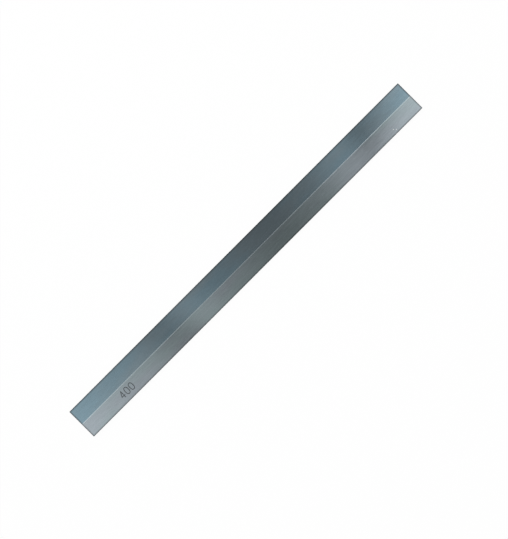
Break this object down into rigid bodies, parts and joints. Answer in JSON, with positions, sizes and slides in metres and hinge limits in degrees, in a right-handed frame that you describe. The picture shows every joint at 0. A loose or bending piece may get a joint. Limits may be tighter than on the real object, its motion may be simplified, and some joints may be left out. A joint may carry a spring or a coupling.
{
  "type": "planer knife",
  "caption": "Long flat planer knife: a ground steel body with a brazed hard metal strip along one side of its face, bevelled from the back to a straight cutting edge.",
  "frame": {"origin": "middle of the knife's outline in the plane of the back, the flat that the knife lies on", "axes": "+X along the knife, +Y towards the cutting edge, +Z out of the face that carries the hard metal strip"},
  "size_m": [0.4, 0.03, 0.003],
  "materials": {
    "ground_steel": "surface ground lengthwise, satin, with a thin film of oil",
    "hard_metal": "fine ground hard metal, blue grey and darker than the steel",
    "braze": "ground silver braze, lighter than both metals beside it"
  },
  "bodies": {
    "root": {"knife_body": "ground_steel", "carbide_strip": "hard_metal", "braze_seam": "braze"}
  },
  "joints": []
}
